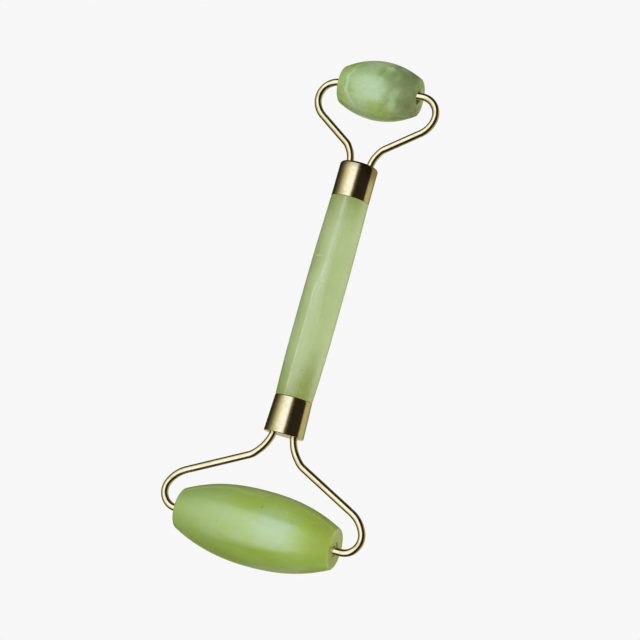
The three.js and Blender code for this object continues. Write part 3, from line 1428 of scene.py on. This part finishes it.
HANDLE_JADE = JadeFinish(
    name="handle_jade_polished",
    slot="handle_jade",
    deep=(0.265, 0.332, 0.124),
    body=(0.318, 0.393, 0.166),
    pale=(0.346, 0.422, 0.194),
    milk=(0.50, 0.58, 0.37),
    cloud_size=26.0,
    cloud_stretch=(1.4, 0.5, 1.4),
    turn=(0, 0, 12),
    gloss=0.17,
    shine=0.5,
    patches=(
        Patch((0, -36.0, 0), (40.0, 16.0, 40.0), (0.19, 0.24, 0.05), 0.92, 0.8, 0.07),
        Patch((0, 34.5, 0), (40.0, 13.0, 40.0), (0.18, 0.24, 0.05), 0.95, 0.8, 0.07),
        Patch((4.5, -25.0, 3.1), (3.2, 9.5, 3.2), (0.17, 0.20, 0.035), 0.45, 0.8, 0.1),
        Patch((-4.8, -21.0, 2.5), (1.6, 8.0, 3.0), (0.22, 0.28, 0.06), 0.5, 0.8, 0.12),
        # Painted rim light: a pale strip down the handle's right edge, standing for the bright
        # floor reflected there.
        Patch((5.3, 4.0, -1.0), (1.6, 60.0, 5.0), (0.42, 0.49, 0.26), 0.55, 0.8, 0.1),
        Patch((-2.4, 10.6, 5.1), (1.7, 0.30, 1.5), (0.50, 0.58, 0.38), 0.4, 0.7),
        Patch((5.5, -12.9, -1.4), (0.6, 0.45, 0.8), (0.10, 0.13, 0.04), 0.8, 0.3),
    ),
    # The first three sheets are painted highlight: pale lines along the edge of the reflected
    # streak down the handle's front, not cracks. The fourth is a healed crack.
    sheets=(
        Sheet((1.0, 0.0, 0.22), 0.25, 0.36, 0.25, 0.5, 3.0, (-1.0, -13.5, 5.0), (8.0, 17.0, 5.0)),
        Sheet((0.984, -0.177, 0.0), -0.93, 0.32, 0.15, 0.40, 1.6, (0.0, 3.4, 5.0), (4.0, 4.4, 4.0)),
        Sheet((1.0, 0.0, 0.0), 0.40, 0.75, 0.2, 0.26, 0.0, (0.0, 18.0, 5.0), (4.0, 15.0, 4.0)),
        Sheet((0.9, 0.2, -0.5), 3.2, 0.10, 0.7, 0.12),
    ),
    dull=(Patch((0.9, -14.5, 5.6), (2.1, 19.0, 3.0), (0.0, 0.0, 0.0), 0.3, 0.5),),
    fleck=0.16,
)

LARGE_JADE = JadeFinish(
    name="large_roller_jade_polished",
    slot="large_roller_jade",
    deep=(0.235, 0.335, 0.050),
    body=(0.270, 0.375, 0.060),
    pale=(0.290, 0.400, 0.076),
    milk=(0.38, 0.50, 0.20),
    cloud_size=20.0,
    cloud_stretch=(0.5, 1.5, 1.5),
    turn=(0, 10, 0),
    gloss=0.2,
    shine=1.0,
    patches=(
        # The first two patches are pale milky stone, partly painted highlight where the soft box is
        # reflected on top.
        Patch((-14.0, 1.0, 7.0), (14.0, 8.0, 8.0), (0.28, 0.395, 0.17), 0.55, 0.9),
        Patch((8.0, 1.5, 9.5), (7.0, 5.0, 4.0), (0.32, 0.44, 0.25), 0.55, 0.8),
        Patch((20.0, 3.0, 3.0), (5.0, 8.0, 7.0), (0.25, 0.30, 0.045), 0.6, 0.9),
        Patch((23.2, -2.6, -1.0), (1.0, 4.6, 6.0), (0.16, 0.18, 0.05), 0.6, 0.6, 0.1),
        # Painted highlight: a pale crescent on the right end face, along its near rim.
        Patch((23.2, 4.2, 1.0), (0.8, 3.4, 5.0), (0.40, 0.40, 0.20), 0.5, 0.6, 0.1),
        Patch((3.1, 5.5, 9.0), (0.35, 0.3, 1.0), (0.14, 0.17, 0.04), 0.6, 0.4),
        Patch((18.0, 6.7, 2.0), (0.5, 0.6, 0.6), (0.06, 0.07, 0.02), 0.9, 0.3),
    ),
    sheets=(
        Sheet((0.42, -0.9, 0.1), 3.4, 0.10, 0.7, 0.4, 0.0, (13.0, 6.0, 6.0), (9.0, 6.0, 8.0)),
        Sheet((0.3, 0.75, 0.3), 9.6, 0.12, 0.3, 0.35, 0.0, (16.0, 6.0, 4.0), (9.0, 6.0, 8.0)),
        Sheet((0.8, 0.55, 0.1), 11.9, 0.12, 0.5, 0.4, 0.0, (11.5, 4.5, 8.0), (2.2, 2.6, 4.0)),
    ),
    fleck=0.14,
)

SMALL_JADE = JadeFinish(
    name="small_roller_jade_polished",
    slot="small_roller_jade",
    deep=(0.21, 0.305, 0.085),
    body=(0.29, 0.405, 0.135),
    pale=(0.345, 0.46, 0.185),
    milk=(0.43, 0.55, 0.32),
    cloud_size=9.0,
    cloud_stretch=(0.8, 1.2, 1.2),
    turn=(0, 30, 20),
    gloss=0.2,
    shine=1.0,
    patches=(
        # The first patch is a milky lens in the stone, partly painted highlight where the soft box
        # is reflected.
        Patch((-0.8, -0.8, 6.0), (6.9, 7.6, 30.0), (0.30, 0.425, 0.20), 0.75, 0.3),
        Patch((-9.8, 3.0, 5.0), (3.2, 6.0, 7.0), (0.30, 0.40, 0.11), 0.7, 0.7),
        Patch((-6.2, 4.6, 6.0), (3.4, 1.2, 3.0), (0.25, 0.36, 0.10), 0.5, 0.8),
        Patch((1.8, 3.6, 8.0), (1.0, 2.8, 2.5), (0.20, 0.30, 0.07), 0.6, 0.8),
        Patch((-8.5, -6.0, 4.0), (4.0, 3.5, 7.0), (0.34, 0.415, 0.10), 0.6, 0.7),
        Patch((1.8, -7.0, 4.5), (5.5, 3.6, 6.0), (0.32, 0.42, 0.085), 0.8, 0.7),
        Patch((5.0, 1.6, 7.5), (4.4, 4.6, 5.0), (0.19, 0.28, 0.065), 0.75, 0.9),
        Patch((10.5, 1.0, 4.0), (7.5, 11.0, 9.0), (0.105, 0.145, 0.040), 0.92, 0.9),
        Patch((11.0, -4.5, 2.0), (4.0, 4.0, 6.0), (0.12, 0.14, 0.040), 0.7, 0.8),
        Patch((-3.4, -6.2, 5.0), (4.6, 3.4, 6.0), (0.38, 0.49, 0.24), 0.75, 0.8),
    ),
    # The band is a painted highlight: a pale crescent along the left rim of the milky lens.
    bands=(Patch((-0.6, -0.8, 6.0), (7.3, 7.8, 30.0), (0.45, 0.57, 0.39), 0.6, 0.09),),
    band_keep=((-6.9, -0.6, 6.0), (3.4, 7.6, 8.0)),
    sheets=(Sheet((1.0, 0.35, 0.1), -8.6, 0.14, 0.8, 0.25),),
    dull=(Patch((9.0, -1.0, 7.0), (7.0, 12.0, 9.0), (0.0, 0.0, 0.0), 0.4, 0.35),),
    fleck=0.38,
)

CAP_BRASS = BrassFinish(
    name="cap_brass_polished",
    slot="cap_brass",
    metal=(0.84, 0.745, 0.42),
    tarnish=(0.30, 0.22, 0.08),
    tarnish_share=0.22,
    gloss=0.13,
    line_stretch=(0.4, 7.0, 0.4),
    line_depth=0.0016,
)

WIRE_BRASS = BrassFinish(
    name="wire_brass_drawn",
    slot="wire_brass",
    metal=(0.90, 0.80, 0.44),
    tarnish=(0.26, 0.19, 0.07),
    tarnish_share=0.2,
    gloss=0.17,
    line_stretch=(1.0, 1.0, 6.0),
    line_depth=0.0014,
)

RESIN = PolymerFinish(
    name="cast_resin",
    slot="resin",
    colour=(0.62, 0.52, 0.30),
    shade=(0.50, 0.40, 0.20),
    gloss=0.35,
    glow=0.3,
)

# Dark olive-amber, darker than the nylon's own colour: painted shade in the mouths of the roller
# bores.
SHADED_NYLON = PolymerFinish(
    name="moulded_nylon",
    slot="sleeve_nylon",
    colour=(0.46, 0.42, 0.22),
    shade=(0.33, 0.28, 0.12),
    gloss=0.4,
    glow=0.3,
)

LARGE_CAP = EndCap(
    End.LARGE,
    CAP_BRASS,
    length=10.3,
    end_radius=5.6,
    mouth_radius=5.2,
    edge=0.25,
    edge_steps=3,
    splay=11.3,
)

SMALL_CAP = EndCap(
    End.SMALL,
    CAP_BRASS,
    length=10.2,
    end_radius=5.35,
    mouth_radius=5.35,
    edge=0.95,
    edge_steps=8,
    splay=6.0,
    # Painted shade: the outer end darkened where the bright reflected strip stops short.
    outer_end_shade=(
        Patch((5.0, 4.4, 1.5), (4.2, 4.2, 4.4), (0.30, 0.23, 0.08), 0.8, 0.7),
        Patch((1.0, 4.6, 5.0), (5.0, 1.4, 3.0), (0.40, 0.30, 0.12), 0.6, 0.7),
    ),
)

LARGE_YOKE = WireYoke(
    End.LARGE,
    WIRE_BRASS,
    splay=11.3,
    neck_radius=11.4,
    neck=41.3,
    shoulder_radius=6.3,
    arm=63.5,
    elbow_radius=9.1,
    elbow=24.5,
    hook_radius=4.6,
    axle_depth=26.1,
    bridge_depth=2.5,
    roller_length=46.0,
)

SMALL_YOKE = WireYoke(
    End.SMALL,
    WIRE_BRASS,
    splay=6.0,
    neck_radius=7.8,
    neck=33.8,
    shoulder_radius=4.2,
    arm=54.5,
    elbow_radius=6.6,
    elbow=9.7,
    hook_radius=5.2,
    axle_depth=21.5,
    bridge_depth=2.0,
    roller_length=22.8,
)

LARGE_ROLLER = BarrelRoller(
    End.LARGE,
    LARGE_JADE,
    length=46.0,
    middle_radius=10.6,
    end_radius=5.6,
    power=2.28,
    belts=61,
)

SMALL_ROLLER = BarrelRoller(
    End.SMALL,
    SMALL_JADE,
    length=22.8,
    middle_radius=8.4,
    end_radius=5.2,
    power=2.0,
    belts=41,
    lapping=0.16,
)


def main() -> None:
    """Builds every sub-assembly in order and reports each piece."""
    logging.basicConfig(level=logging.INFO, format="%(name)s: %(message)s")
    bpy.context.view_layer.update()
    made = [StoneHandle(HANDLE_JADE).build()]
    for part in (LARGE_CAP, SMALL_CAP, LARGE_YOKE, SMALL_YOKE, LARGE_ROLLER, SMALL_ROLLER):
        made.append(part.build())
    made.extend(Sleeves(SHADED_NYLON).build())
    ResinFill(RESIN).dress()
    for piece in made:
        LOG.info("%s: %d faces", piece.name, len(piece.data.polygons))
    Studio().build()
    bpy.context.scene.view_settings.view_transform = "Standard"


if __name__ == "__main__":
    main()
